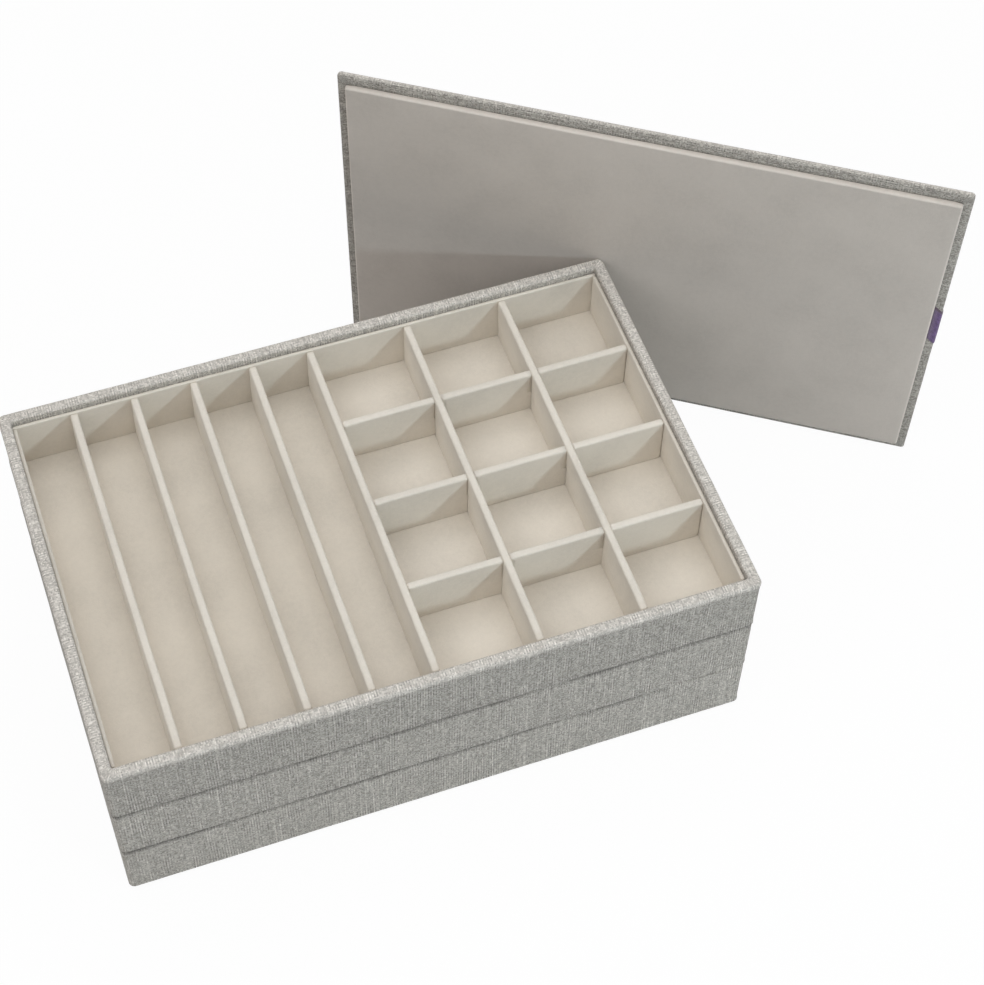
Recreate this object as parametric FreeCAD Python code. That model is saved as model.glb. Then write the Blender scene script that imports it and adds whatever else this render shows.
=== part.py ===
import FreeCAD, Part
import math
import os

# A set of three stacking trays for jewelry, with a lift-off lid that stands on its
# long edge behind the stack and leans on it. All sizes are in millimetres. X runs
# along the trays' long side, Y to the back and Z up, from the centre of the bottom
# tray's foot.

# Compartments of the top tray: long channels on the left, square cells on the right
channel_count = 5
channel_width = 29.25
cell_columns = 3
cell_rows = 4
cell_width = 52.6
cell_depth = 51.0
compartment_depth = 31.1

# Compartments of the middle and bottom trays
middle_columns = 4
bottom_columns = 2

# Velvet-covered cards: dividers, liner walls and floor pad
divider_thickness = 4.2
divider_round = 1.2
liner_thickness = 2.2
liner_round = 0.8
pad_thickness = 1.8

# Linen-covered shell of each tray
linen_thickness = 0.5
wall_board_thickness = 4.8
base_board_thickness = 3.0
corner_radius = 3.0
rim_round_outer = 2.0
rim_round_inner = 1.0
seat_round = 1.0
opening_corner_radius = 1.0

# Rim above the liner, and the raised panel that locates the next piece inside it
rim_recess = 4.4
plug_height = 4.1
plug_clearance = 0.4
plug_corner_radius = 2.5
plug_round = 1.0

# Lid, a little shorter than the trays at each end, with the pull ribbon round its
# right-hand end, somewhat above the middle
lid_board_thickness = 3.2
lid_edge_round = 2.0
lid_end_setback = 1.25
lid_panel_thickness = 3.4
ribbon_thickness = 0.4
ribbon_width = 29.0
ribbon_rise = 5.5
ribbon_outer_leg = 12.0

# Where the lid stands: turned about Z, and leaning forward almost against the rim's
# rear right corner, which is this far from the lid's left-hand end
lid_turn_degrees = -33.5
lid_lean_degrees = 1.5
lid_gap = 0.5
lid_corner_reach = 151.75

# Derived sizes of the shell
wall_thickness = wall_board_thickness + 2 * linen_thickness
grid_width = cell_columns * cell_width + (cell_columns - 1) * divider_thickness
channels_width = channel_count * (channel_width + divider_thickness)
inner_length = channels_width + grid_width
inner_width = cell_rows * cell_depth + (cell_rows - 1) * divider_thickness
opening_length = inner_length + 2 * liner_thickness
opening_width = inner_width + 2 * liner_thickness
tray_length = opening_length + 2 * wall_thickness
tray_width = opening_width + 2 * wall_thickness
core_length = tray_length - 2 * linen_thickness
core_width = tray_width - 2 * linen_thickness
bay_length = core_length - 2 * wall_board_thickness
bay_width = core_width - 2 * wall_board_thickness
plug_length = opening_length - 2 * plug_clearance
plug_width = opening_width - 2 * plug_clearance

# Derived levels, measured up from the tray's seat on the rim below it
base_top = linen_thickness + base_board_thickness
floor_level = base_top + pad_thickness
liner_top = floor_level + compartment_depth
tray_height = liner_top + rim_recess
slot_level = floor_level + compartment_depth / 2

# Derived sizes of the lid, with its levels measured from its outer face
lid_length = tray_length - 2 * lid_end_setback
lid_board_length = lid_length - 2 * linen_thickness
lid_cover_thickness = lid_board_thickness + 2 * linen_thickness
lid_thickness = lid_cover_thickness + lid_panel_thickness
lid_board_top = linen_thickness + lid_board_thickness

# Small numbers for picking edges and for cutting right through a piece
pick_tolerance = 0.001
overshoot = 10.0


def block(x_range, y_range, z_range):
    size_x = x_range[1] - x_range[0]
    size_y = y_range[1] - y_range[0]
    size_z = z_range[1] - z_range[0]
    corner = FreeCAD.Vector(x_range[0], y_range[0], z_range[0])
    return Part.makeBox(size_x, size_y, size_z, corner)


def span(size):
    return (-size / 2, size / 2)


def lies_at(edge, level):
    box = edge.BoundBox
    return abs(box.ZMin - level) < pick_tolerance and abs(box.ZMax - level) < pick_tolerance


def is_upright(edge):
    box = edge.BoundBox
    return box.XLength < pick_tolerance and box.YLength < pick_tolerance


def round_level(shape, level, radius):
    edges = [edge for edge in shape.Edges if lies_at(edge, level)]
    return shape.makeFillet(radius, edges)


def rounded_block(length, width, z_range, corner):
    shape = block(span(length), span(width), z_range)
    edges = [edge for edge in shape.Edges if is_upright(edge)]
    return shape.makeFillet(corner, edges)


def single(shape):
    return shape.Solids[0].removeSplitter().Solids[0]


# A cutter that rounds one straight top edge along X or Y. The inward vector points
# from the edge into the piece, across the edge.
def edge_cutter(start, length, along_x, inward, top, radius):
    if along_x:
        x_range = (start[0], start[0] + length)
        y_range = sorted((start[1], start[1] + inward * radius))
        axis = FreeCAD.Vector(1, 0, 0)
        centre = FreeCAD.Vector(start[0], start[1] + inward * radius, top - radius)
    else:
        x_range = sorted((start[0], start[0] + inward * radius))
        y_range = (start[1], start[1] + length)
        axis = FreeCAD.Vector(0, 1, 0)
        centre = FreeCAD.Vector(start[0] + inward * radius, start[1], top - radius)
    corner = block(x_range, y_range, (top - radius, top))
    return corner.cut(Part.makeCylinder(radius, length, centre, axis))


# Four boards of the tray's wall: front and back run the full length, and left and
# right fit between them
def wall_boards():
    top = tray_height - linen_thickness
    envelope = rounded_block(core_length, core_width, (linen_thickness, top),
                             corner_radius - linen_thickness)
    envelope = round_level(envelope, top, rim_round_outer - linen_thickness)
    inner_round = rim_round_inner - linen_thickness
    through = (-overshoot, tray_height + overshoot)
    boards = {}
    for name, side in (("front", -1), ("back", 1)):
        face = side * bay_width / 2
        far = side * (tray_width / 2 + overshoot)
        slab = block(span(tray_length + overshoot), sorted((face, far)), through)
        board = envelope.common(slab)
        start = (-core_length / 2, face)
        board = board.cut(edge_cutter(start, core_length, True, side, top, inner_round))
        boards[name] = single(board)
    for name, side in (("left", -1), ("right", 1)):
        face = side * bay_length / 2
        far = side * (tray_length / 2 + overshoot)
        slab = block(sorted((face, far)), span(bay_width), through)
        board = envelope.common(slab)
        start = (face, -bay_width / 2)
        board = board.cut(edge_cutter(start, bay_width, False, side, top, inner_round))
        boards[name] = single(board)
    return boards


def base_board():
    return block(span(bay_length), span(bay_width), (linen_thickness, base_top))


# The foot is glued under the base board and stands below the seat, so that it drops
# into the rim of the tray underneath
def foot_board():
    shape = rounded_block(plug_length, plug_width, (-plug_height, linen_thickness),
                          plug_corner_radius)
    return round_level(shape, -plug_height, plug_round)


# Linen round the boards: up the outside, over the rim, down the inside to the base
# board, and turned in underneath as far as the foot
def linen_wrap(boards, base, foot):
    shape = rounded_block(tray_length, tray_width, (0, tray_height), corner_radius)
    shape = round_level(shape, tray_height, rim_round_outer)
    shape = round_level(shape, 0, seat_round)
    opening = rounded_block(opening_length, opening_width,
                            (base_top, tray_height + overshoot), opening_corner_radius)
    shape = shape.cut(opening)
    edges = []
    for edge in shape.Edges:
        box = edge.BoundBox
        within_x = max(abs(box.XMin), abs(box.XMax)) < opening_length / 2 + pick_tolerance
        within_y = max(abs(box.YMin), abs(box.YMax)) < opening_width / 2 + pick_tolerance
        if lies_at(edge, tray_height) and within_x and within_y:
            edges.append(edge)
    shape = shape.makeFillet(rim_round_inner, edges)
    for inside in list(boards.values()) + [base, foot]:
        shape = shape.cut(inside)
    return single(shape)


def floor_pad():
    return rounded_block(opening_length, opening_width, (base_top, floor_level),
                         opening_corner_radius)


# Four velvet-covered liner cards that stand on the floor pad, against the linen
def liner_walls():
    envelope = rounded_block(opening_length, opening_width, (floor_level, liner_top),
                             opening_corner_radius)
    through = (-overshoot, tray_height + overshoot)
    liners = {}
    for name, side in (("front", -1), ("back", 1)):
        face = side * inner_width / 2
        far = side * (opening_width / 2 + overshoot)
        slab = block(span(opening_length + overshoot), sorted((face, far)), through)
        liner = envelope.common(slab)
        start = (-opening_length / 2, face)
        cutter = edge_cutter(start, opening_length, True, side, liner_top, liner_round)
        liners[name] = single(liner.cut(cutter))
    for name, side in (("left", -1), ("right", 1)):
        face = side * inner_length / 2
        far = side * (opening_length / 2 + overshoot)
        slab = block(sorted((face, far)), span(inner_width), through)
        liner = envelope.common(slab)
        start = (face, -inner_width / 2)
        cutter = edge_cutter(start, inner_width, False, side, liner_top, liner_round)
        liners[name] = single(liner.cut(cutter))
    return liners


# A divider from front to back, with its two long top edges rounded
def divider_along_y(x_centre):
    half = divider_thickness / 2
    x_range = (x_centre - half, x_centre + half)
    shape = block(x_range, span(inner_width), (floor_level, liner_top))
    edges = []
    for edge in shape.Edges:
        if lies_at(edge, liner_top) and edge.BoundBox.XLength < pick_tolerance:
            edges.append(edge)
    return shape.makeFillet(divider_round, edges)


# A divider from left to right between two given faces
def divider_along_x(x_range, y_centre):
    half = divider_thickness / 2
    y_range = (y_centre - half, y_centre + half)
    shape = block(x_range, y_range, (floor_level, liner_top))
    edges = []
    for edge in shape.Edges:
        if lies_at(edge, liner_top) and edge.BoundBox.YLength < pick_tolerance:
            edges.append(edge)
    return shape.makeFillet(divider_round, edges)


# Where two dividers cross, the one along Y keeps its top half and the one along X
# its bottom half, so that they slot into each other
def slot_dividers(along_y, x_centres, along_x, y_centres):
    half = divider_thickness / 2
    slotted_y = []
    for shape in along_y:
        for y_centre in y_centres:
            slot = block(span(tray_length), (y_centre - half, y_centre + half),
                         (floor_level - overshoot, slot_level))
            shape = shape.cut(slot)
        slotted_y.append(single(shape))
    slotted_x = []
    for shape in along_x:
        for x_centre in x_centres:
            slot = block((x_centre - half, x_centre + half), span(tray_width),
                         (slot_level, liner_top + overshoot))
            shape = shape.cut(slot)
        slotted_x.append(single(shape))
    return slotted_y, slotted_x


def top_dividers():
    pieces = {}
    pitch = channel_width + divider_thickness
    first = -inner_length / 2 + channel_width + divider_thickness / 2
    for index in range(channel_count):
        pieces["channel_divider_%d" % (index + 1)] = divider_along_y(first + index * pitch)
    grid_start = inner_length / 2 - grid_width
    column_pitch = cell_width + divider_thickness
    x_centres = []
    for index in range(cell_columns - 1):
        x_centres.append(grid_start + cell_width + divider_thickness / 2 + index * column_pitch)
    row_pitch = cell_depth + divider_thickness
    y_centres = []
    for index in range(cell_rows - 1):
        y_centres.append(inner_width / 2 - (index + 1) * row_pitch + divider_thickness / 2)
    along_y = [divider_along_y(x_centre) for x_centre in x_centres]
    along_x = [divider_along_x((grid_start, inner_length / 2), y) for y in y_centres]
    along_y, along_x = slot_dividers(along_y, x_centres, along_x, y_centres)
    for index, shape in enumerate(along_y):
        pieces["column_divider_%d" % (index + 1)] = shape
    for index, shape in enumerate(along_x):
        pieces["row_divider_%d" % (index + 1)] = shape
    return pieces


def column_centres(columns):
    width = (inner_length - (columns - 1) * divider_thickness) / columns
    pitch = width + divider_thickness
    first = -inner_length / 2 + width + divider_thickness / 2
    return [first + index * pitch for index in range(columns - 1)]


def middle_dividers():
    pieces = {}
    x_centres = column_centres(middle_columns)
    along_y = [divider_along_y(x_centre) for x_centre in x_centres]
    along_x = [divider_along_x(span(inner_length), 0)]
    along_y, along_x = slot_dividers(along_y, x_centres, along_x, [0])
    for index, shape in enumerate(along_y):
        pieces["column_divider_%d" % (index + 1)] = shape
    pieces["long_divider"] = along_x[0]
    return pieces


def bottom_dividers():
    pieces = {}
    for index, x_centre in enumerate(column_centres(bottom_columns)):
        pieces["column_divider_%d" % (index + 1)] = divider_along_y(x_centre)
    return pieces


def tray_pieces():
    pieces = {}
    boards = wall_boards()
    base = base_board()
    foot = foot_board()
    pieces["linen_wrap"] = linen_wrap(boards, base, foot)
    for name, board in boards.items():
        pieces[name + "_board"] = board
    pieces["base_board"] = base
    pieces["foot_panel"] = foot
    pieces["floor_pad"] = floor_pad()
    for name, liner in liner_walls().items():
        pieces[name + "_liner"] = liner
    return pieces


# The lid lies with its outer face at level 0 while it is made
def lid_pieces():
    cover = rounded_block(lid_length, tray_width, (0, lid_cover_thickness), corner_radius)
    cover = round_level(cover, 0, lid_edge_round)
    cover = round_level(cover, lid_cover_thickness, lid_edge_round)
    board_round = lid_edge_round - linen_thickness
    board = rounded_block(lid_board_length, core_width, (linen_thickness, lid_board_top),
                          corner_radius - linen_thickness)
    board = round_level(board, linen_thickness, board_round)
    board = round_level(board, lid_board_top, board_round)
    panel = rounded_block(plug_length, plug_width, (lid_board_top, lid_thickness),
                          plug_corner_radius)
    panel = round_level(panel, lid_thickness, plug_round)
    wrap = single(cover.cut(board).cut(panel))
    return {"lid_board": board, "lid_linen_wrap": wrap, "lid_panel": panel,
            "lid_ribbon": pull_ribbon(cover)}


# The ribbon starts at the panel's side, goes round the lid's end and lies on the
# outer face
def pull_ribbon(cover):
    grown_length = lid_length + 2 * ribbon_thickness
    grown_width = tray_width + 2 * ribbon_thickness
    low = -ribbon_thickness
    high = lid_cover_thickness + ribbon_thickness
    radius = lid_edge_round + ribbon_thickness
    grown = rounded_block(grown_length, grown_width, (low, high),
                          corner_radius + ribbon_thickness)
    grown = round_level(grown, low, radius)
    grown = round_level(grown, high, radius)
    skin = grown.cut(cover)
    middle = lid_cover_thickness / 2
    end = lid_length / 2 + overshoot
    across = (ribbon_rise - ribbon_width / 2, ribbon_rise + ribbon_width / 2)
    outer_zone = block((lid_length / 2 - ribbon_outer_leg, end), across,
                       (-overshoot, middle))
    inner_zone = block((plug_length / 2, end), across,
                       (middle, lid_thickness + overshoot))
    return single(skin.common(outer_zone.fuse(inner_zone).removeSplitter()))


# Placement that stands the lid on its rounded long edge, turns its panel to the stack
# and leans it forward until the panel is one gap away from the rim's rounded corner
def lid_placement(rim_top):
    turn = math.radians(lid_turn_degrees)
    lean = math.radians(lid_lean_degrees)
    along = FreeCAD.Vector(math.cos(turn), math.sin(turn), 0)
    level = along.cross(FreeCAD.Vector(0, 0, 1))
    up = level * math.sin(lean) + FreeCAD.Vector(0, 0, math.cos(lean))
    facing = along.cross(up)
    corner = FreeCAD.Vector(tray_length / 2 - corner_radius, tray_width / 2 - corner_radius,
                            rim_top - rim_round_outer)
    corner_reach = (corner_radius - rim_round_outer) * math.cos(lean) + rim_round_outer
    edge_drop = (lid_cover_thickness - lid_edge_round) * math.sin(lean)
    edge_level = edge_drop + lid_edge_round * (1 - math.cos(lean))
    foot = along * (corner.dot(along) - lid_corner_reach) + FreeCAD.Vector(0, 0, edge_level)
    needed = corner_reach - corner.dot(facing) + lid_gap + lid_thickness
    foot = foot - level * ((needed + foot.dot(facing)) / math.cos(lean))
    place = foot + along * (lid_length / 2) + up * (tray_width / 2)
    return FreeCAD.Placement(FreeCAD.Matrix(along.x, up.x, facing.x, place.x,
                                            along.y, up.y, facing.y, place.y,
                                            along.z, up.z, facing.z, place.z,
                                            0, 0, 0, 1))


def export(name, shape):
    shape.exportStep("parts/%s.step" % name)


os.makedirs("parts", exist_ok=True)

# The stack: each tray's seat is on the rim of the one below
fittings = {"bottom": bottom_dividers(), "middle": middle_dividers(), "top": top_dividers()}
shared = tray_pieces()
for position, (tray, dividers) in enumerate(fittings.items()):
    lift = FreeCAD.Vector(0, 0, plug_height + position * tray_height)
    for name, shape in list(shared.items()) + list(dividers.items()):
        export("%s_%s" % (tray, name), shape.translated(lift))

# The lid, standing behind the stack
placement = lid_placement(plug_height + len(fittings) * tray_height)
for name, shape in lid_pieces().items():
    export(name, shape.transformed(placement.toMatrix()))
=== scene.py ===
import math

import bpy
from mathutils import Matrix, Vector, noise


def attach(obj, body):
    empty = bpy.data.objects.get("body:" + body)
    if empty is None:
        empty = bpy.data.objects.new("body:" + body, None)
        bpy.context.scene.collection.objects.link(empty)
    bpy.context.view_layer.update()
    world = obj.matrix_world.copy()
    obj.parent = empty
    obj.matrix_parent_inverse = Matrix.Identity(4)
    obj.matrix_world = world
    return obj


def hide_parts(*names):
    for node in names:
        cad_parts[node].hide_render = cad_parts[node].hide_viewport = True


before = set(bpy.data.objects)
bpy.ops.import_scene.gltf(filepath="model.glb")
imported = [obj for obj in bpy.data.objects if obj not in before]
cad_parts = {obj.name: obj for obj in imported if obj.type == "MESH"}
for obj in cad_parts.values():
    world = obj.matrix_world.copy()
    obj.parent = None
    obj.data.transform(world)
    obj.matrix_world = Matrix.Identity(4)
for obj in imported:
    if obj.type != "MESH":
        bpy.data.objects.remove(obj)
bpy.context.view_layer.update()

MM = 0.001

# Sizes in millimetres, as in the solids: the trays, then the lid
LENGTH, WIDTH, HEIGHT = 349.45, 232.6, 40.8
WALL, LINEN, CORNER = 5.8, 0.5, 3.0
BASE_TOP, FLOOR, LINER_TOP = 3.5, 5.3, 36.4
INNER_L, INNER_W = 333.45, 216.6
LINER, DIVIDER = 2.2, 4.2
PLUG, PLUG_INSET = 4.1, 6.2
SEATS = {"bottom": PLUG, "middle": PLUG + HEIGHT, "top": PLUG + 2 * HEIGHT}
CHANNEL, CELL_W, CELL_D = 29.25, 52.6, 51.0
LID_LENGTH, LID_COVER, LID_THICK, LID_ROUND = 346.95, 4.2, 7.6, 2.0

# Sizes that are the cloth's own, in millimetres: roundings, the gap in a joint, and the ribbon
RIM_OUT, RIM_OUT_PRESSED, RIM_IN = 1.8, 1.3, 1.5
SEAT_ROUND, SEAT_GAP = 0.6, 0.5
LID_CORNER, LID_FRONT_ROUND = 1.8, 1.3
RIBBON_WIDTH, RIBBON_RISE, RIBBON_LEG, RIBBON_SLANT = 29.0, 5.5, 12.0, 2.6

# Where the lid stands: its lower left outer corner, its turn about Z and its lean
LID_FOOT = Vector((53.1098, 209.0328, 0.0583))
LID_TURN, LID_LEAN = math.radians(-33.5), math.radians(1.5)

# How far apart the points of the meshes are, in millimetres
RING_STEP, FACE_STEP, CARD_STEP, PAD_STEP = 2.5, 2.6, 4.5, 4.0


# Small tools
def bumpy(x, y, z, scale, seed):
    """Smooth noise about zero, whose waves are about as long as scale."""
    at = (x / scale + seed * 7.31, y / scale - seed * 3.17, z / scale + seed * 1.71)
    return noise.noise(Vector(at))


def clamp(value):
    return max(0.0, min(1.0, value))


def add_mesh(name, points, faces, maps=None, wear_and_painted_light=None):
    """A smooth mesh of points in millimetres, with the place in the weave, and how much its cloth is painted
    paler or darker by wear, dust and painted light.
    """
    mesh = bpy.data.meshes.new(name)
    mesh.from_pydata([Vector(p) * MM for p in points], [], faces)
    if wear_and_painted_light is not None:
        mesh.attributes.new("wear_and_painted_light", "FLOAT", "POINT").data.foreach_set("value", wear_and_painted_light)
    if maps is not None:
        layer = mesh.uv_layers.new(name="weave")
        for poly in mesh.polygons:
            for loop, uv in zip(poly.loop_indices, maps[poly.index]):
                layer.data[loop].uv = uv
    mesh.polygons.foreach_set("use_smooth", [True] * len(mesh.polygons))
    mesh.validate()
    mesh.update()
    obj = bpy.data.objects.new(name, mesh)
    bpy.context.scene.collection.objects.link(obj)
    return obj


def dress(obj, body, node, material):
    """The piece rides on a body and stands there for one of its solids."""
    obj.data.materials.append(material)
    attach(obj, body)
    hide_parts(node)


def arc(centre, radius, start, end, count):
    out = []
    for i in range(count + 1):
        a = math.radians(start + (end - start) * i / count)
        out.append((centre[0] + radius * math.cos(a), centre[1] + radius * math.sin(a)))
    return out


def stations(start, end, step):
    count = max(1, round(abs(end - start) / step))
    return [start + (end - start) * i / count for i in range(count + 1)]


def run_lengths(points):
    """How far along a chain of points each of them is, seen in the first two coordinates."""
    out = [0.0]
    for a, b in zip(points, points[1:]):
        out.append(out[-1] + math.hypot(b[0] - a[0], b[1] - a[1]))
    return out


# Rounded boxes: cards, pads and feet
def axis_stations(half, radius, step):
    """Positions across one side of a box, close together in its rounded edges."""
    edge = [radius * math.tan(math.radians(a)) for a in (45, 30, 15)]
    flat = half - radius
    low = [-flat - e for e in edge]
    high = [flat + e for e in reversed(edge)]
    return low + stations(-flat, flat, step) + high


def rounded_box(name, low, high, radius, step, shape=None, wear_and_painted_light=None, square_foot=False):
    """A closed box with its edges rounded, but not those of a square foot.

    shape moves each point of its grid, and wear_and_painted_light says how much paler or darker, by wear and
    painted light, the moved point is painted.
    """
    half = [(b - a) / 2 for a, b in zip(low, high)]
    mid = [(b + a) / 2 for a, b in zip(low, high)]
    lines = [axis_stations(h, radius, step) for h in half]
    index, points, faces = {}, [], []

    def vertex(i, j, k):
        key = (i, j, k)
        if key not in index:
            p = Vector((lines[0][i], lines[1][j], lines[2][k]))
            core = Vector([max(-(h - radius), min(h - radius, c)) for c, h in zip(p, half)])
            away = p - core
            if square_foot and away.z < 0:
                side = Vector((away.x, away.y, 0))
                reach = max(abs(away.x), abs(away.y))
                p = Vector((core.x, core.y, p.z)) + side.normalized() * reach
            else:
                p = core + away.normalized() * radius
            index[key] = len(points)
            points.append(p + Vector(mid))
        return index[key]

    last = [len(line) - 1 for line in lines]
    for a, b, c in ((0, 1, 2), (1, 2, 0), (2, 0, 1)):
        for side in (0, last[c]):
            for i in range(last[a]):
                for j in range(last[b]):
                    quad = []
                    for di, dj in ((0, 0), (1, 0), (1, 1), (0, 1)):
                        at = [0, 0, 0]
                        at[a], at[b], at[c] = i + di, j + dj, side
                        quad.append(vertex(*at))
                    faces.append(quad if side else quad[::-1])
    if shape:
        points = [shape(p) for p in points]
    return add_mesh(name, points, faces, wear_and_painted_light=[wear_and_painted_light(p) for p in points] if wear_and_painted_light else None)


# Linen swept round a rounded rectangle
# A plan is the length and the corner radius of a rectangle as wide as the trays
TRAY_PLAN, LID_PLAN = (LENGTH, CORNER), (LID_LENGTH, LID_CORNER)
# Each side runs along its first direction and faces its second
SIDES = [((1, 0), (0, -1)), ((0, 1), (1, 0)), ((-1, 0), (0, 1)), ((0, -1), (-1, 0))]
# A side's even marks end this far from its corners, a few lead on from there, and this many go round a corner
APPROACH, LEADS, TURNS = 10.0, (0.0, 0.34, 0.67), 10
# The radius of the corners on a wall's inner face
INNER_CORNER = 1.0


def ring_layout(plan=TRAY_PLAN):
    """Marks round a rectangle: (side, kind, share), the same for every inset."""
    marks = []
    for side, half in enumerate((plan[0] / 2, WIDTH / 2, plan[0] / 2, WIDTH / 2)):
        flat = half - APPROACH
        marks += [(side, "in", t) for t in LEADS]
        marks += [(side, "flat", s) for s in stations(-flat, flat, RING_STEP)[:-1]]
        marks += [(side, "out", t) for t in LEADS]
        marks += [(side, "turn", i / TURNS) for i in range(TURNS)]
    return marks


def ring_point(mark, inset, plan=TRAY_PLAN):
    """(x, y) on the rounded rectangle that lies inset inside the outer face, and its outward normal."""
    side, kind, share = mark
    along, out = SIDES[side]
    half, reach = (WIDTH / 2, plan[0] / 2) if side % 2 else (plan[0] / 2, WIDTH / 2)
    radius = max(INNER_CORNER, plan[1] - inset * (plan[1] - INNER_CORNER) / WALL)
    end = half - inset - radius
    flat = half - APPROACH
    if kind == "turn":
        a = math.radians(90 * share)
        nx = out[0] * math.cos(a) + along[0] * math.sin(a)
        ny = out[1] * math.cos(a) + along[1] * math.sin(a)
        cx = along[0] * end + out[0] * (reach - inset - radius)
        cy = along[1] * end + out[1] * (reach - inset - radius)
        return cx + nx * radius, cy + ny * radius, nx, ny
    if kind == "flat":
        s = share
    elif kind == "in":
        s = -end + (end - flat) * share
    else:
        s = flat + (end - flat) * share
    x = along[0] * s + out[0] * (reach - inset)
    y = along[1] * s + out[1] * (reach - inset)
    return x, y, out[0], out[1]


def sweep(marks, profile, move, plan=TRAY_PLAN, shift=0.0, fold=None):
    """A closed section, a list of (inset, level), swept round the rectangle.

    A tray's cloth is mapped as a strip, cut from the weave at shift. The lid's is mapped as a sheet
    whose edge is at point fold of the section.
    """
    ring = [ring_point(mark, 0.0, plan) for mark in marks]
    rounds = run_lengths(ring + ring[:1])
    steps = run_lengths(profile + profile[:1])
    n = len(profile)

    def place(i, j):
        if fold is None:
            return (rounds[i] + shift) * MM, (steps[j] + shift) * MM
        # how far beyond the lid's outline the point lay in the flat cut
        run = min(steps[j], 2 * steps[fold] - steps[j]) - profile[0][0]
        x, y, nx, ny = ring[i % len(ring)]
        return (y + ny * run) * MM, (x + nx * run) * MM

    points, faces, maps = [], [], []
    for mark, along in zip(marks, rounds):
        for inset, level in profile:
            x, y, nx, ny = ring_point(mark, inset, plan)
            points.append(move(x, y, level, nx, ny, inset, along))
    for i in range(len(marks)):
        for j in range(n):
            corners = ((i, j), (i + 1, j), (i + 1, j + 1), (i, j + 1))
            faces.append([a % len(marks) * n + b % n for a, b in corners])
            maps.append([place(a, b) for a, b in corners])
    return points, faces, maps


def tray_profile(tray):
    """The section of a tray's linen: under the wall, up its face, over the rim and down inside, then back."""
    # the rim is pressed to a tighter edge where another tray stands on it
    edge = RIM_OUT if tray == "top" else RIM_OUT_PRESSED
    low, high, inner = SEAT_GAP + SEAT_ROUND, HEIGHT - edge, HEIGHT - RIM_IN
    hem, foot, half_way, back = PLUG_INSET - 0.1, BASE_TOP + 0.05, 20.0, WALL - LINEN
    face = [(d, SEAT_GAP) for d in (hem, 4.8, 3.0, 1.6)]
    face += arc((SEAT_ROUND, low), SEAT_ROUND, 270, 180, 4)
    face += [(0.0, z) for z in stations(low, high, FACE_STEP)[1:-1]]
    face += arc((edge, high), edge, 180, 90, 7)
    face += [(2.4, HEIGHT), (3.1, HEIGHT)]
    face += arc((WALL - RIM_IN, inner), RIM_IN, 90, 0, 6)
    face += [(WALL, z) for z in stations(inner, foot, 3.4)[1:]]
    face += [(back, foot), (back, half_way)]
    face += arc((WALL - RIM_IN, inner), RIM_IN - LINEN, 0, 90, 3)
    face += arc((edge, high), edge - LINEN, 90, 180, 3)
    face += [(LINEN, half_way)]
    face += arc((SEAT_ROUND, low), SEAT_ROUND - LINEN, 180, 270, 2)
    face += [(hem, SEAT_GAP + LINEN)]
    return face


# How dark the joints are, with dust and painted shade in the crease between trays, how much that varies, and
# where the lower one fades out on the front
DUST_AND_SHADE, DUST_AND_SHADE_SPREAD, DUST_AND_SHADE_WAVE, DUST_AND_SHADE_END, DUST_AND_SHADE_FADE = 0.80, 0.55, 26, 138.0, 34.0
# How much darker, by painted shade, the other trays' faces are than the bottom tray's
FACE_PAINTED_SHADE = {"top": 0.25, "middle": 0.1, "bottom": 0.0}
# How far the paler rim, partly rubbed and partly painted light, reaches down outside and inside, and a
# joint's dust and painted shade down and up the walls beside it
RIM_BAND, INNER_BAND, DUST_AND_SHADE_BELOW, DUST_AND_SHADE_ABOVE = 2.95, 3.6, 1.75, 1.15


def dust_and_joint_shade(joint, mark):
    """How dark a joint is at a mark, with dust and painted shade. Joint 1, the lower one, fades out near the
    front's right end.
    """
    x, y, nx, ny = ring_point(mark, 0.0)
    value = DUST_AND_SHADE + DUST_AND_SHADE_SPREAD * bumpy(x, y, 0, DUST_AND_SHADE_WAVE, 80 + joint)
    if joint == 1 and ny < -0.5:
        value *= clamp((DUST_AND_SHADE_END - x) / DUST_AND_SHADE_FADE)
    return value


def wear_dust_and_painted_light(tray, inset, level, above, below):
    """1 on the rim, where the cloth is paler, partly rubbed and partly painted light, and negative where it
    is darker.

    It is darkest in a joint, with dust and painted shade as above or below says; the inner wall's pale band
    is painted light, and the upper trays' faces have painted shade.
    """
    # the inner wall is paler towards its top: painted light
    if inset > WALL / 2:
        return clamp((level - HEIGHT + INNER_BAND) / 3.2)
    # the rim's top is paler: partly rubbed, partly painted light from above
    value = clamp((level - HEIGHT + RIM_BAND) / 0.5)
    # under a tray standing on it, the rim's outer edge is darkened: dust and painted shade in the joint
    if tray != "top" and inset < 1.6:
        value = -above * clamp((level - HEIGHT + DUST_AND_SHADE_BELOW) / 0.5)
    # the faces of the upper trays are painted darker: painted shade
    value -= FACE_PAINTED_SHADE[tray] * clamp((HEIGHT - RIM_BAND - level) / 0.5)
    # an upper tray's foot is darkened in its joint: dust and painted shade
    if tray != "bottom":
        value -= below * clamp((DUST_AND_SHADE_ABOVE - level) / 0.4)
    return value


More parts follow.
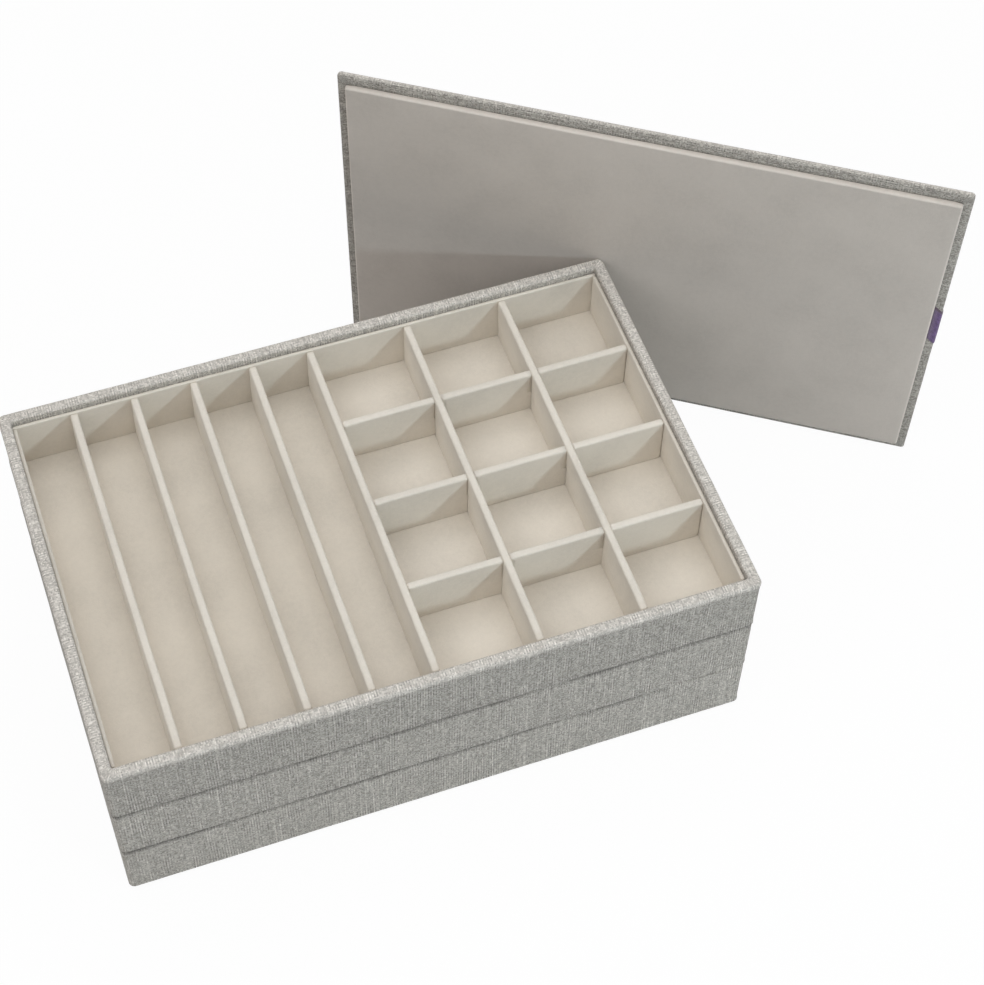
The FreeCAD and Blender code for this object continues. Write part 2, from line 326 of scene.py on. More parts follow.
def tray_wrap(tray, seed, cut):
    """The linen of one tray. cut says where in the weave its strip was cut."""
    seat = SEATS[tray]
    marks = ring_layout()
    profile = tray_profile(tray)
    # the cloth is thicker where it folds over the open rim and under the wall, and pressed in under a tray
    rim_push, foot_push = 0.45 if tray == "top" else -0.15, 0.45

    def move(x, y, level, nx, ny, inset, along):
        on_top = clamp((level - HEIGHT + 6.0) / 5.0)
        under = clamp((2.0 - level) / 2.0) if inset < WALL - 0.2 else 0.0
        swell = 0.12 * bumpy(along, level, 0, 26, seed) + 0.04 * bumpy(along, level, 5, 7, seed)
        rim = 0.12 * bumpy(along, 0, 9, 17, seed) + 0.06 * bumpy(along, inset, 3, 5, seed) - 0.14
        if inset < WALL / 2:
            push = swell + foot_push * clamp(1 - level / 5) + rim_push * on_top
        else:
            push = -0.6 * swell
            # the cloth stays clear of the board's inner edge
            rim = max(rim, -0.06)
        if inset > WALL - 0.9:
            push = 0.0 if level < LINER_TOP else -0.05
        lift = on_top * rim * (1.0 if level > HEIGHT - 1.6 else 0.4)
        lift += under * 0.1 * bumpy(along, 0, 2, 19, seed)
        return Vector((x + nx * push, y + ny * push, seat + level + lift))

    shift = 1000.0 * bumpy(3.3, 1.7, 0, 1, cut)
    points, faces, maps = sweep(marks, profile, move, shift=shift)
    joint = list(SEATS).index(tray)
    wear_and_painted_light = []
    for mark in marks:
        below, above = dust_and_joint_shade(joint, mark), dust_and_joint_shade(joint + 1, mark)
        wear_and_painted_light += [wear_dust_and_painted_light(tray, inset, level, above, below) for inset, level in profile]
    obj = add_mesh(tray + "_linen", points, faces, maps, wear_and_painted_light)
    dress(obj, tray + "_tray", tray + "_linen_wrap", linen)


# Velvet cards and pads
STRAIGHT = (0.0, 0.0, 0.0)


def bow(bend, share):
    """How far a card's head has moved, from its start, middle and end, at a share of its length."""
    t = 2 * share - 1
    return bend[0] * t * (t - 1) / 2 + bend[1] * (1 - t * t) + bend[2] * t * (t + 1) / 2


def card(tray, node, low, high, radius, seed, wobble=0.12, slots=(), bend=STRAIGHT, butt=0.0):
    """An upright card. bend moves its head sideways, butt moves the head of its low end along it."""
    seat = SEATS[tray]
    thin = 0 if high[0] - low[0] < high[1] - low[1] else 1
    long = 1 - thin
    # how deep the uneven head is, and how far along the card butt reaches
    head, butt_reach = 6.0, 20

    def shape(p):
        top = clamp((p.z - high[2] + head) / head)
        rise = clamp((p.z - low[2]) / (high[2] - low[2]))
        share = clamp((p[long] - low[long]) / (high[long] - low[long]))
        lift = top * (0.10 * bumpy(p.x, p.y, 0, 18, seed + 3) - 0.08)
        moved = Vector((p.x, p.y, p.z + seat + lift))
        moved[thin] += wobble * bumpy(p.x, p.y, p.z, 24, seed) + rise * bow(bend, share)
        moved[long] += rise * butt * clamp(1 - (p[long] - low[long]) / butt_reach)
        return moved

    name = "%s_%s_velvet" % (tray, node)
    obj = rounded_box(name, low, high, radius, CARD_STEP, shape, square_foot=True)
    for slot_low, slot_high in slots:
        cut_slot(obj, slot_low, slot_high, seat)
    dress(obj, tray + "_tray", "%s_%s" % (tray, node), velvet)


def cut_slot(obj, low, high, seat):
    lift = Vector((0, 0, seat))
    box = rounded_box("cutter", Vector(low) + lift, Vector(high) + lift, 0.05, 50)
    cut = obj.modifiers.new("slot", "BOOLEAN")
    cut.operation, cut.solver, cut.object = "DIFFERENCE", "EXACT", box
    graph = bpy.context.evaluated_depsgraph_get()
    result = bpy.data.meshes.new_from_object(obj.evaluated_get(graph))
    obj.modifiers.clear()
    old, obj.data = obj.data, result
    bpy.data.meshes.remove(old)
    bpy.data.objects.remove(box)


def pad(tray, node, low, high, radius, seed):
    """A flat pad whose upper face swells a little."""
    seat = SEATS[tray]

    def shape(p):
        lift = 0.08 * bumpy(p.x, p.y, 0, 30, seed) - 0.06 if p.z > (low[2] + high[2]) / 2 else 0.0
        return Vector((p.x, p.y, p.z + lift + seat))

    obj = rounded_box("%s_%s_velvet" % (tray, node), low, high, radius, PAD_STEP, shape)
    dress(obj, tray + "_tray", "%s_%s" % (tray, node), velvet)


def furnish(tray, along_y, along_x, seed):
    """Floor, foot, liners and dividers of one tray.

    along_y holds (node, x, bend) and along_x (node, low x, high x, y, bend), bends as in bow.
    """
    gap, crease, inset = 0.15, 0.06, 0.12
    half_l, half_w = INNER_L / 2, INNER_W / 2
    open_l, open_w = half_l + LINER, half_w + LINER
    foot_l, foot_w = LENGTH / 2 - PLUG_INSET, WIDTH / 2 - PLUG_INSET
    pad(tray, "floor_pad", (-open_l, -open_w, BASE_TOP), (open_l, open_w, FLOOR), 0.8, seed)
    pad(tray, "foot_panel", (-foot_l, -foot_w, -PLUG), (foot_l, foot_w, LINEN), 1.0, seed + 1)
    bottom, middle = FLOOR + crease, (FLOOR + LINER_TOP) / 2
    for node, low, high in (
        ("front_liner", (-open_l + inset, -open_w + inset), (open_l - inset, -half_w)),
        ("back_liner", (-open_l + inset, half_w), (open_l - inset, open_w - inset)),
        ("left_liner", (-open_l + inset, -half_w + gap), (-half_l, half_w - gap)),
        ("right_liner", (half_l, -half_w + gap), (open_l - inset, half_w - gap)),
    ):
        seed += 1
        card(tray, node, low + (bottom,), high + (LINER_TOP,), 0.75, seed, wobble=0.06)
    # a slot reaches past the card it is cut in by this much, and a divider has this half thickness
    past, t = 5, DIVIDER / 2
    for node, x, bend in along_y:
        seed += 1
        slots = []
        for _, x0, x1, y, other_bend in along_x:
            if x0 - 1 < x < x1 + 1:
                # the other card stands in this one's lower half, where it moves a quarter as far as its head
                move = bow(other_bend, (x - x0) / (x1 - x0)) / 4
                at, reach = y + move, t + gap + abs(move)
                slots.append(((x - past, at - reach, FLOOR - past), (x + past, at + reach, middle + gap)))
        low, high = (x - t, -half_w + gap, bottom), (x + t, half_w - gap, LINER_TOP)
        card(tray, node, low, high, 1.2, seed, slots=slots, bend=bend)
    for node, x0, x1, y, bend in along_x:
        seed += 1
        slots, butt = [], 0.0
        for _, x, other_bend in along_y:
            move = bow(other_bend, (y + half_w) / INNER_W)
            if x0 < x - t and x + t < x1:
                # the other card stands in this one's upper half, where it moves three quarters as far
                at, reach = x + 0.75 * move, t + gap + abs(move) / 4
                slots.append(((at - reach, y - past, middle), (at + reach, y + past, LINER_TOP + past)))
            elif abs(x + t - x0) < 0.1:
                butt = move
        low, high = (x0 + gap, y - t, bottom), (x1 - gap, y + t, LINER_TOP - gap)
        card(tray, node, low, high, 1.2, seed, slots=slots, bend=bend, butt=butt)


# Lid
def place_on_lid(obj, node, material):
    """A piece made flat, face up, is stood where the lid stands."""
    along = Vector((math.cos(LID_TURN), math.sin(LID_TURN), 0))
    level = along.cross(Vector((0, 0, 1)))
    up = level * math.sin(LID_LEAN) + Vector((0, 0, math.cos(LID_LEAN)))
    facing = along.cross(up)
    place = (LID_FOOT + along * LID_LENGTH / 2 + up * WIDTH / 2) * MM
    turn = Matrix((along, up, facing)).transposed().to_4x4()
    obj.matrix_world = Matrix.Translation(place) @ turn
    bpy.context.view_layer.update()
    dress(obj, "lid", node, material)


def lid_cover():
    """The linen: the outer face, the edge and the strip beside the panel."""
    marks = ring_layout(LID_PLAN)
    r, front, top, hem = LID_ROUND, LID_FRONT_ROUND, LID_COVER, PLUG_INSET - 0.1
    face = [(12.0, 0.0), (6.0, 0.0), (3.0, 0.0)]
    face += arc((r, r), r, 270, 180, 6)
    face += [(0.0, top / 2)]
    face += arc((front, top - front), front, 180, 90, 6)
    face += [(3.0, top), (4.6, top), (hem, top)]
    fold = len(face) - 1
    face += [(hem, top - LINEN), (3.0, top - LINEN)]
    face += arc((front, top - front), front - LINEN, 90, 180, 3)
    face += arc((r, r), r - LINEN, 180, 270, 3)
    face += [(6.0, LINEN), (12.0, LINEN)]
    n = len(face)

    def move(x, y, level, nx, ny, inset, along):
        push = 0.08 * bumpy(along, level, 0, 22, 41) if inset < 3 else 0.0
        lift = 0.06 * bumpy(along, inset, 4, 15, 43) if 2 < inset < 11 else 0.0
        return Vector((x + nx * push - nx * 0.05, y + ny * push - ny * 0.05, level + lift))

    points, faces, maps = sweep(marks, face, move, LID_PLAN, fold=fold)
    # the section ends in two layers, which go on across the outer face without the wall between them
    wall = {0, n - 1}
    keep = [k for k, corners in enumerate(faces) if {p % n for p in corners} != wall]
    faces, maps = [faces[k] for k in keep], [maps[k] for k in keep]
    for layer in (0, n - 1):
        loop = [i * n + layer for i in range(len(marks))]
        if layer == 0:
            loop.reverse()
        faces.append(loop)
        maps.append([(points[p].y * MM, points[p].x * MM) for p in loop])
    # the upper edge, where it faces up, is painted paler below this level (a painted highlight), and the
    # strip beside the panel, above it, is painted darker (painted shade)
    strip, strip_painted_shade = 3.0, 0.28
    wear_and_painted_light = []
    for mark in marks:
        upward = max(0.0, ring_point(mark, 0.0, LID_PLAN)[3])
        for inset, level in face:
            # painted highlight on the edge that faces up, and painted shade on the strip beside the panel
            pale = upward * clamp((strip - level) / 0.6) * clamp((4.0 - inset) / 2.0)
            wear_and_painted_light.append(pale - strip_painted_shade * clamp((level - strip) / 0.4))
    cover = add_mesh("lid_linen", points, faces, maps, wear_and_painted_light)
    place_on_lid(cover, "lid_linen_wrap", linen)


def lid_panel():
    """The raised velvet panel, a little domed, with a painted highlight along its edges."""
    half_l, half_w = LENGTH / 2 - PLUG_INSET, WIDTH / 2 - PLUG_INSET
    low, radius, dome_reach = LID_COVER - LINEN + 0.05, 1.3, 14.0

    def inside(p):
        return min(half_l - abs(p.x), half_w - abs(p.y))

    def shape(p):
        if p.z < LID_COVER + 0.9:
            # the panel's ends lie on the linen, and its long sides reach the board beside it
            foot = LID_COVER + 0.03 if abs(p.x) > half_l - radius - 0.01 else low
            p = Vector((p.x, p.y, foot + (p.z - low) * 0.3))
        if p.z > LID_COVER + 2:
            dome = clamp(inside(p) / dome_reach)
            p = p + Vector((0, 0, -0.35 + 0.25 * dome + 0.09 * bumpy(p.x, p.y, 0, 42, 61) * dome))
        return p

    # painted highlight along the panel's edges
    def wear_and_painted_light(p):
        return clamp((radius - inside(p)) / 0.8)

    corners = (-half_l, -half_w, low), (half_l, half_w, LID_THICK)
    panel = rounded_box("lid_velvet", *corners, radius, PAD_STEP, shape, wear_and_painted_light)
    place_on_lid(panel, "lid_panel", velvet_painted_shade)


def lid_ribbon():
    """The pull: a ribbon from the panel's side, round the lid's end, onto the outer face."""
    end, r, front, top, gap = LID_LENGTH / 2, LID_ROUND, LID_FRONT_ROUND, LID_COVER, 0.08
    path = [(x, top + gap) for x in stations(LENGTH / 2 - PLUG_INSET + 0.1, end - front, 0.8)[:-1]]
    path += arc((end - front, top - front), front + gap, 90, 0, 6)
    path += arc((end - r, r), r + gap, 0, -90, 6)
    path += [(x, -gap) for x in stations(end - r, end - RIBBON_LEG, 0.9)[1:]]
    run = run_lengths(path)
    normals = []
    for a, b in zip(path[:1] + path, path[1:] + path[-1:]):
        d = Vector((b[0] - a[0], b[1] - a[1])).normalized()
        normals.append((-d.y, d.x))
    across = stations(-RIBBON_WIDTH / 2, RIBBON_WIDTH / 2, 1.0)
    n, m = len(across), len(path)
    points, maps, faces = [], [], []
    for side in (0, 1):
        for i, (x, z) in enumerate(path):
            slant = RIBBON_SLANT * (1 - 2 * clamp(run[i] / 6.0))
            sway = RIBBON_RISE + slant + 0.15 * bumpy(0, run[i], 8, 5, 73)
            for y in across:
                edge = min(1.0, (RIBBON_WIDTH / 2 - abs(y)) / 1.5)
                lift = side * (0.22 + 0.14 * edge) + 0.05 * bumpy(y, run[i], side, 6, 71)
                points.append(Vector((x + normals[i][0] * lift, y + sway, z + normals[i][1] * lift)))

    def add_face(corners):
        faces.append([side * n * m + i * n + j for side, i, j in corners])
        maps.append([(across[j] * MM, run[i] * MM) for _, i, j in corners])

    for side in (0, 1):
        for i in range(m - 1):
            for j in range(n - 1):
                quad = [(side, i, j), (side, i, j + 1), (side, i + 1, j + 1), (side, i + 1, j)]
                add_face(quad[::-1] if side else quad)
    rim = [(0, j) for j in range(n)] + [(i, n - 1) for i in range(1, m)]
    rim += [(m - 1, j) for j in range(n - 2, -1, -1)] + [(i, 0) for i in range(m - 2, 0, -1)]
    for a, b in zip(rim, rim[1:] + rim[:1]):
        add_face([(0, *b), (0, *a), (1, *a), (1, *b)])
    ribbon = add_mesh("lid_ribbon_pull", points, faces, maps)
    place_on_lid(ribbon, "lid_ribbon", purple)


# Materials
class Nodes:
    """Short calls for building one material's node tree."""

    def __init__(self, name):
        self.material = bpy.data.materials.new(name)
        self.material.use_nodes = True
        self.tree = self.material.node_tree
        self.tree.nodes.clear()
        self.shader = self.node("ShaderNodeBsdfPrincipled")
        self.link(self.shader.outputs[0], self.node("ShaderNodeOutputMaterial").inputs[0])

    def link(self, a, b):
        self.tree.links.new(a, b)

    def put(self, value, socket):
        if isinstance(value, bpy.types.NodeSocket):
            self.link(value, socket)
        else:
            socket.default_value = value

    def node(self, kind, **settings):
        n = self.tree.nodes.new(kind)
        for key, value in settings.items():
            setattr(n, key, value)
        return n

    def math(self, op, a, b=0.0, c=0.0):
        n = self.node("ShaderNodeMath", operation=op)
        for value, socket in zip((a, b, c), n.inputs):
            self.put(value, socket)
        return n.outputs[0]

    def combine(self, x, y, z=0.0):
        n = self.node("ShaderNodeCombineXYZ")
        for value, socket in zip((x, y, z), n.inputs):
            self.put(value, socket)
        return n.outputs[0]

    def noise(self, vector, scale, detail, rough=0.5):
        n = self.node("ShaderNodeTexNoise")
        self.put(vector, n.inputs["Vector"])
        n.inputs["Scale"].default_value = scale
        n.inputs["Detail"].default_value = detail
        n.inputs["Roughness"].default_value = rough
        return n.outputs["Fac"]

    def white(self, vector):
        n = self.node("ShaderNodeTexWhiteNoise", noise_dimensions="3D")
        self.put(vector, n.inputs["Vector"])
        return n.outputs["Value"]

    def weave(self):
        """The two ways of the cloth's map, in metres."""
        n = self.node("ShaderNodeSeparateXYZ")
        self.link(self.node("ShaderNodeUVMap", uv_map="weave").outputs[0], n.inputs[0])
        return n.outputs[0], n.outputs[1]

    def wear_and_painted_light(self):
        return self.node("ShaderNodeAttribute", attribute_name="wear_and_painted_light").outputs["Fac"]

    def ramp(self, value, stops):
        n = self.node("ShaderNodeValToRGB")
        while len(n.color_ramp.elements) < len(stops):
            n.color_ramp.elements.new(0.5)
        for e, (at, colour) in zip(n.color_ramp.elements, stops):
            e.position = at
            e.color = (*colour, 1.0)
        self.put(value, n.inputs[0])
        return n.outputs[0]

    def mix(self, fac, a, b, blend="MIX"):
        n = self.node("ShaderNodeMix", data_type="RGBA", blend_type=blend)
        self.put(fac, n.inputs[0])
        for value, socket in ((a, n.inputs[6]), (b, n.inputs[7])):
            self.put((*value, 1.0) if isinstance(value, tuple) else value, socket)
        return n.outputs[2]

    def scale(self, colour, factor):
        n = self.node("ShaderNodeVectorMath", operation="SCALE")
        self.link(colour, n.inputs[0])
        self.link(factor, n.inputs["Scale"])
        return n.outputs[0]

    def bump(self, height, distance):
        n = self.node("ShaderNodeBump")
        n.inputs["Distance"].default_value = distance
        self.put(height, n.inputs["Height"])
        self.link(n.outputs[0], self.shader.inputs["Normal"])

    def set(self, **values):
        for key, value in values.items():
            self.put(value, self.shader.inputs[key.replace("_", " ")])


def srgb(r, g, b):
    return tuple(((c / 255 + 0.055) / 1.055) ** 2.4 for c in (r, g, b))


def linen_material():
    """Plain weave of heathered threads, each with its own shade, and thin slubs along the warp."""
    m = Nodes("heather_linen")
    pitch = 0.00072
    u, v = m.weave()
    drift = m.noise(m.combine(u, v), 45.0, 1.0)
    tu = m.math("ADD", m.math("DIVIDE", u, pitch), m.math("MULTIPLY", drift, 1.4))
    tv = m.math("ADD", m.math("DIVIDE", v, pitch), m.math("MULTIPLY", drift, 1.1))
    iu, iv = m.math("FLOOR", tu), m.math("FLOOR", tv)
    fu, fv = m.math("FRACT", tu), m.math("FRACT", tv)
    over = m.math("FRACT", m.math("MULTIPLY", m.math("ADD", iu, iv), 0.5))
    over = m.math("GREATER_THAN", over, 0.25)
    # each thread's own shade, which drifts along its length, and flecks at the crossings
    warp = m.noise(m.combine(m.math("MULTIPLY", iu, 7.7), m.math("MULTIPLY", tv, 0.16)), 1.0, 2.0, 0.6)
    weft = m.noise(m.combine(m.math("MULTIPLY", tu, 0.16), m.math("MULTIPLY", iv, 9.1), 4.0), 1.0, 2.0, 0.6)
    slub = m.noise(m.combine(m.math("MULTIPLY", tu, 0.36), m.math("MULTIPLY", tv, 0.07), 8.0), 1.0, 2.0)
    fleck = m.white(m.combine(iu, iv, 1.0))
    # every other warp thread is paler, more in some bands of the cloth than in others
    stripe = m.math("MULTIPLY_ADD", m.math("FRACT", m.math("MULTIPLY", iu, 0.5)), 4.0, -1.0)
    band = m.noise(m.combine(m.math("MULTIPLY", tu, 0.07), m.math("MULTIPLY", tv, 0.025), 2.0), 1.0, 1.0)
    stripe = m.math("MULTIPLY", stripe, m.math("MULTIPLY_ADD", band, 0.5, -0.17))
    warp_shade = m.math("ADD", m.math("MULTIPLY_ADD", warp, 0.68, -0.34), stripe)
    weft_shade = m.math("ADD", m.math("MULTIPLY_ADD", weft, 0.68, -0.34), m.math("MULTIPLY", stripe, 0.4))
    thread = m.node("ShaderNodeMix", data_type="FLOAT")
    for value, socket in ((over, 0), (warp_shade, 2), (weft_shade, 3)):
        m.link(value, thread.inputs[socket])
    shade = m.math("ADD", m.math("MULTIPLY_ADD", fleck, 0.42, 0.29), thread.outputs[0])
    shade = m.math("ADD", shade, m.math("MULTIPLY_ADD", slub, 0.28, -0.14))
    # a few threads are pale over a long way
    long_way = m.white(m.combine(iu, m.math("FLOOR", m.math("MULTIPLY", tv, 0.021)), 5.0))
    shade = m.math("ADD", shade, m.math("MULTIPLY", m.math("GREATER_THAN", long_way, 0.9), 0.12))
    bright = m.math("MAXIMUM", m.math("SUBTRACT", warp, 0.60), 0.0)
    shade = m.math("MULTIPLY_ADD", bright, 1.2, shade)
    colour = m.ramp(shade, [
        (0.0, srgb(108, 105, 100)),
        (0.35, srgb(156, 151, 144)),
        (0.6, srgb(191, 186, 178)),
        (1.0, srgb(234, 229, 221)),
    ])
    # the cloth is paler over the rims, partly rubbed and partly painted light, with a painted highlight on
    # the lid's upper edge; it is darker in the joints, with dust and painted shade, and painted shade darkens
    # the upper trays' faces and the lid's strip beside the panel
    wear_and_painted_light = m.wear_and_painted_light()
    wear_and_painted_highlight, dust_and_painted_shade = m.math("MAXIMUM", wear_and_painted_light, 0.0), m.math("MINIMUM", wear_and_painted_light, 0.0)
    level = m.math("ADD", m.math("MULTIPLY_ADD", wear_and_painted_highlight, 0.36, 1.0), m.math("MULTIPLY", dust_and_painted_shade, 0.52))
    colour = m.mix(m.math("MULTIPLY", wear_and_painted_highlight, 0.3), colour, srgb(178, 172, 163))
    colour = m.mix(1.0, colour, m.mix(wear_and_painted_highlight, (1.0, 1.0, 1.0), (0.985, 0.99, 1.01)), "MULTIPLY")
    colour = m.scale(colour, level)
    m.set(Base_Color=colour, Roughness=0.9, Specular_IOR_Level=0.2, Sheen_Weight=0.08, Sheen_Roughness=0.5)
    # height: the thread on top is a rounded ridge, thicker along a slub
    ridge_u = m.math("SINE", m.math("MULTIPLY", fu, math.pi))
    ridge_v = m.math("SINE", m.math("MULTIPLY", fv, math.pi))
    under = m.math("SUBTRACT", 1.0, over)
    warp_top = m.math("MULTIPLY", m.math("MULTIPLY", ridge_u, under), m.math("POWER", ridge_v, 0.5))
    weft_top = m.math("MULTIPLY", m.math("MULTIPLY", ridge_v, over), m.math("POWER", ridge_u, 0.5))
    height = m.math("ADD", m.math("ADD", warp_top, weft_top), m.math("ADD", warp, slub))
    m.bump(height, 0.00009)
    return m.material


def velvet_material(name, base, nap, seed):
    """Short pile: fine fibres, softly brushed patches, a pale sheen at a slant, and a painted highlight where
    the mesh marks one, along the lid panel's edges.
    """
    m = Nodes(name)
    place = m.node("ShaderNodeVectorMath", operation="ADD")
    m.link(m.node("ShaderNodeTexCoord").outputs["Object"], place.inputs[0])
    place.inputs[1].default_value = (seed * 0.37, seed * 0.11, seed * 0.23)
    at = place.outputs[0]
    patches = m.noise(at, 26.0, 3.0, 0.55)
    fibre = m.noise(at, 1700.0, 2.0, 0.6)
    grain = m.noise(at, 420.0, 2.0)
    shade = m.math("ADD", m.math("MULTIPLY", patches, nap), m.math("MULTIPLY", grain, 0.10))
    shade = m.math("ADD", shade, m.math("MULTIPLY", fibre, 0.12))
    dark = tuple(c * 0.82 for c in base)
    pale = tuple(c * 1.12 for c in base)
    middle, spread = (nap + 0.22) / 2, 0.16
    colour = m.ramp(shade, [(middle - spread, dark), (middle, base), (middle + spread, pale)])
    # painted highlight: paler where the mesh's attribute says
    colour = m.scale(colour, m.math("MULTIPLY_ADD", m.wear_and_painted_light(), 0.22, 1.0))
    m.set(Base_Color=colour, Roughness=0.95, Specular_IOR_Level=0.15)
    m.set(Sheen_Weight=0.35, Sheen_Roughness=0.45, Sheen_Tint=(1.0, 0.97, 0.92, 1.0))
    m.bump(m.math("ADD", fibre, m.math("MULTIPLY", grain, 0.7)), 0.00012)
    return m.material


def ribbon_material():
    """Fine ribs across a purple ribbon."""
    m = Nodes("ribbon_weave")
    u, v = m.weave()
    rib = m.math("SINE", m.math("MULTIPLY", v, 2 * math.pi / 0.00045))
    thread = m.math("SINE", m.math("MULTIPLY", u, 2 * math.pi / 0.00030))
    mottle = m.noise(m.combine(u, v), 420.0, 3.0)
    shade = m.math("ADD", m.math("MULTIPLY", thread, 0.06), mottle)
    shade = m.math("ADD", m.math("MULTIPLY", rib, 0.12), shade)
    purples = [(0.25, srgb(66, 40, 88)), (0.5, srgb(90, 58, 117)), (0.8, srgb(120, 85, 147))]
    colour = m.ramp(shade, purples)
    # it is rubbed grey beside the panel, and darker and browner along its upper edge
    beside = m.math("MULTIPLY", m.math("SUBTRACT", 0.0032, v), 320.0)
    clip = m.node("ShaderNodeClamp")
    m.link(m.math("MULTIPLY", beside, mottle), clip.inputs[0])
    colour = m.mix(clip.outputs[0], colour, srgb(148, 134, 146))
    end = m.math("GREATER_THAN", m.math("MULTIPLY_ADD", mottle, 0.0012, u), 0.0132)
    colour = m.mix(m.math("MULTIPLY", end, 0.7), colour, srgb(88, 70, 72))
    m.set(Base_Color=colour, Roughness=0.55, Sheen_Weight=0.25)
    m.bump(m.math("ADD", rib, m.math("MULTIPLY", thread, 0.5)), 0.00005)
    return m.material


def board_material():
    """Raw fibreboard, for the solids inside."""
    m = Nodes("fibreboard")
    at = m.node("ShaderNodeTexCoord").outputs["Object"]
    fibre = m.noise(at, 900.0, 3.0, 0.6)
    cloud = m.noise(at, 60.0, 2.0)
    shade = m.math("ADD", m.math("MULTIPLY", fibre, 0.6), m.math("MULTIPLY", cloud, 0.4))
    browns = [(0.3, srgb(128, 110, 88)), (0.5, srgb(156, 138, 114)), (0.7, srgb(180, 164, 140))]
    colour = m.ramp(shade, browns)
    m.set(Base_Color=colour, Roughness=0.9)
    m.bump(fibre, 0.0001)
    return m.material


linen = linen_material()
velvet = velvet_material("cream_velvet", (0.755, 0.703, 0.624), 0.30, 1.0)
# the trays' cream velvet again, painted darker as a shaded copy for the shade on the lid's face
velvet_painted_shade = velvet_material("cream_velvet_painted_shade", (0.576, 0.525, 0.477), 0.24, 2.0)
purple = ribbon_material()
board = board_material()


# The pieces
def named(kind, places, bends):
    return [("%s_divider_%d" % (kind, i + 1), *place, bends[i]) for i, place in enumerate(places)]


for tray, seed, cut in (("top", 1.0, 3), ("middle", 2.0, 6), ("bottom", 3.0, 11)):
    tray_wrap(tray, seed, cut)

# where the dividers' middles are, and how far their heads stand off the straight at start, middle and end
grid_start = INNER_L / 2 - 3 * CELL_W - 2 * DIVIDER
channels = [-INNER_L / 2 + CHANNEL + DIVIDER / 2 + i * (CHANNEL + DIVIDER) for i in range(5)]
grid = [grid_start + CELL_W + DIVIDER / 2 + i * (CELL_W + DIVIDER) for i in range(2)]
rows = [INNER_W / 2 - (i + 1) * (CELL_D + DIVIDER) + DIVIDER / 2 for i in range(3)]
bay = (INNER_L - 3 * DIVIDER) / 4
bays = [-INNER_L / 2 + bay + DIVIDER / 2 + i * (bay + DIVIDER) for i in range(3)]
channel_bends = [
    (0.62, 0.1, 0.15),
    (0.63, -0.07, 0.33),
    (0.38, 0.05, 0.22),
    (0.55, 0.15, 0.45),
    (1.05, 0.6, 0.05),
]
grid_bends = [(0.6, 0.3, -0.1), (0.5, 0.1, -0.65)]
row_bends = [(-0.65, -0.4, -0.25), (0.1, 0.45, 0.4), (-0.1, -0.05, -0.05)]
top_y = named("channel", [(x,) for x in channels], channel_bends)
top_y += named("column", [(x,) for x in grid], grid_bends)
top_x = named("row", [(grid_start, INNER_L / 2, y) for y in rows], row_bends)
middle_y = named("column", [(x,) for x in bays], [STRAIGHT] * 3)
furnish("top", top_y, top_x, 10.0)
furnish("middle", middle_y, [("long_divider", -INNER_L / 2, INNER_L / 2, 0.0, STRAIGHT)], 40.0)
furnish("bottom", named("column", [(0.0,)], [STRAIGHT]), [], 70.0)
lid_cover()
lid_panel()
lid_ribbon()

for name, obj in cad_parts.items():
    if name.endswith("_board"):
        obj.data.materials.clear()
        obj.data.materials.append(board)


# Floor, light and camera
def white_when_seen(tree, out, shader, white, share):
    """Rays from the camera and from mirrors meet white for that share, and all other rays meet the shader."""
    path = tree.nodes.new("ShaderNodeLightPath")
    seen = tree.nodes.new("ShaderNodeMath")
    seen.operation = "MAXIMUM"
    part = tree.nodes.new("ShaderNodeMath")
    part.operation = "MULTIPLY"
    part.inputs[1].default_value = share
    mix = tree.nodes.new("ShaderNodeMixShader")
    for a, b in (
        (path.outputs["Is Camera Ray"], seen.inputs[0]),
        (path.outputs["Is Glossy Ray"], seen.inputs[1]),
        (seen.outputs[0], part.inputs[0]),
        (part.outputs[0], mix.inputs[0]),
        (shader.outputs[0], mix.inputs[1]),
        (white.outputs[0], mix.inputs[2]),
        (mix.outputs[0], out.inputs[0]),
    ):
        tree.links.new(a, b)


def make_floor():
    half, level = 4.0, -0.0004
    corners = [(x * half, y * half, level) for x, y in ((-1, -1), (1, -1), (1, 1), (-1, 1))]
    mesh = bpy.data.meshes.new("floor")
    mesh.from_pydata(corners, [], [(0, 1, 2, 3)])
    floor = bpy.data.objects.new("floor", mesh)
    bpy.context.scene.collection.objects.link(floor)
    mat = bpy.data.materials.new("white_floor")
    mat.use_nodes = True
    tree = mat.node_tree
    tree.nodes.clear()
    out = tree.nodes.new("ShaderNodeOutputMaterial")
    paper = tree.nodes.new("ShaderNodeBsdfDiffuse")
    paper.inputs[0].default_value = (0.92, 0.92, 0.92, 1)
    glow = tree.nodes.new("ShaderNodeEmission")
    glow.inputs[1].default_value = 1.0
    white_when_seen(tree, out, paper, glow, 0.96)
    mesh.materials.append(mat)


def make_world(strength):
    world = bpy.data.worlds.new("studio")
    bpy.context.scene.world = world
    world.use_nodes = True
    tree = world.node_tree
    tree.nodes.clear()
    out = tree.nodes.new("ShaderNodeOutputWorld")
    soft = tree.nodes.new("ShaderNodeBackground")
    white = tree.nodes.new("ShaderNodeBackground")
    for background, level in ((soft, strength), (white, 1.0)):
        background.inputs[0].default_value = (1, 1, 1, 1)
        background.inputs[1].default_value = level
    white_when_seen(tree, out, soft, white, 1.0)


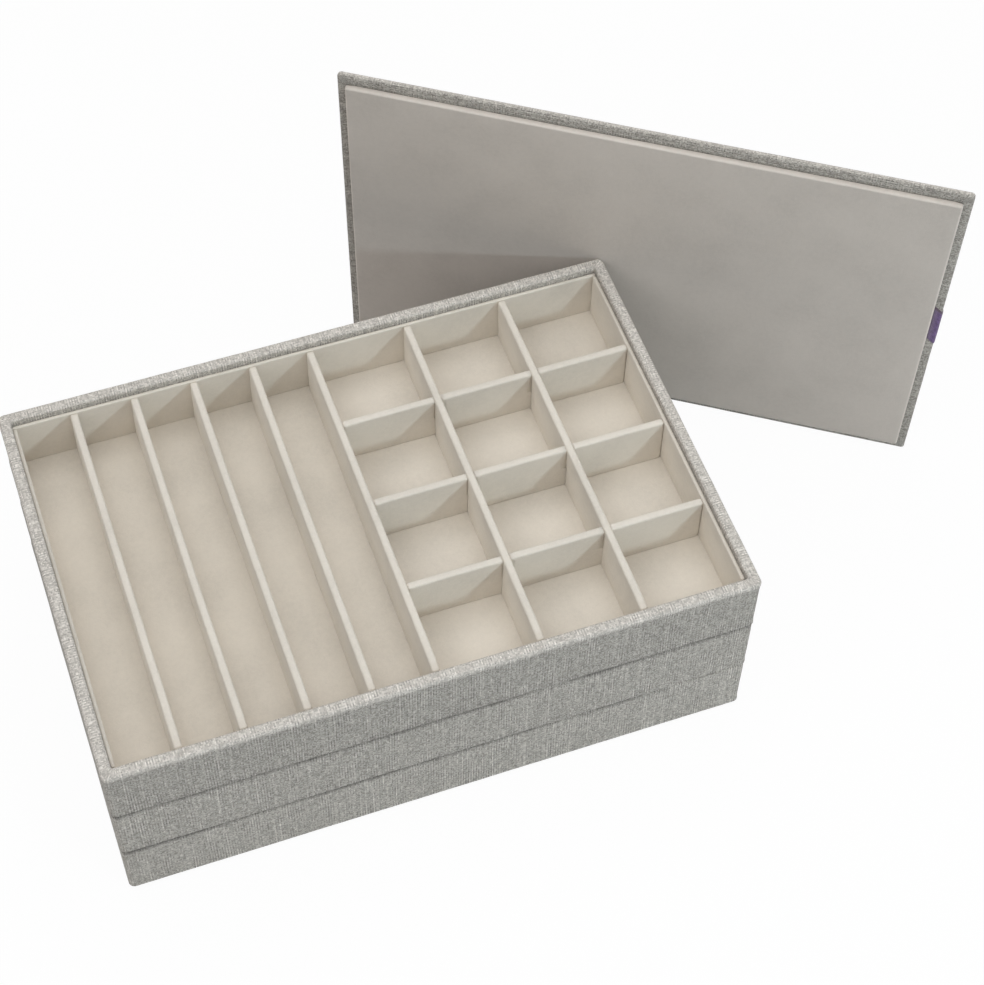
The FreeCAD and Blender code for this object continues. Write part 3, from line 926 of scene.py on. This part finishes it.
def area_lamp(name, towards, distance, size, share, colour=(1, 1, 1)):
    """A square lamp in that direction from the stack, which adds share to a white face turned to it."""
    data = bpy.data.lights.new(name, "AREA")
    data.shape, data.size = "SQUARE", size
    data.energy = share * math.pi ** 2 * distance ** 2
    data.color = colour
    lamp = bpy.data.objects.new(name, data)
    away = Vector(towards).normalized()
    aim = Vector((0.02, 0.0, 0.1))
    lamp.location = aim + away * distance
    lamp.rotation_euler = away.to_track_quat("Z", "Y").to_euler()
    bpy.context.scene.collection.objects.link(lamp)


def make_camera():
    """The view fitted to the photograph: focal length in pixels, angles in degrees, place in millimetres."""
    focal, picture, sensor = 2267.753, 984, 36.0
    yaw, pitch, roll = math.radians(20.975), math.radians(55.421), math.radians(1.721)
    place = Vector((-182.722, -653.825, 1115.532))
    forward = Vector((math.sin(yaw) * math.cos(pitch), math.cos(yaw) * math.cos(pitch), -math.sin(pitch)))
    right = Vector((math.cos(yaw), -math.sin(yaw), 0))
    up = right.cross(forward)
    x_axis = right * math.cos(roll) + up * math.sin(roll)
    y_axis = up * math.cos(roll) - right * math.sin(roll)
    data = bpy.data.cameras.new("camera")
    data.sensor_fit, data.sensor_width = "HORIZONTAL", sensor
    data.lens = focal / picture * sensor
    data.clip_start, data.clip_end = 0.01, 50.0
    camera = bpy.data.objects.new("camera", data)
    turn = Matrix((x_axis, y_axis, -forward)).transposed().to_4x4()
    camera.matrix_world = Matrix.Translation(place * MM) @ turn
    bpy.context.scene.collection.objects.link(camera)
    bpy.context.scene.camera = camera


make_floor()
make_world(0.02)
area_lamp("overhead", (0.0, 0.0, 1.0), 2.2, 3.0, 0.67)
area_lamp("back", (0.0, 0.7, 1.0), 2.0, 1.5, 0.18)
area_lamp("front", (0.1, -0.5, 1.0), 2.0, 1.2, 0.11)
area_lamp("window", (0.39, -0.813, 0.419), 1.5, 0.12, 0.20, (0.76, 0.92, 1.0))
area_lamp("left", (-1.0, -0.42, 0.9), 2.0, 1.5, 0.28)
area_lamp("right", (0.85, -0.65, 0.55), 1.3, 0.8, 0.10)
make_camera()
bpy.context.scene.view_settings.view_transform = "Standard"
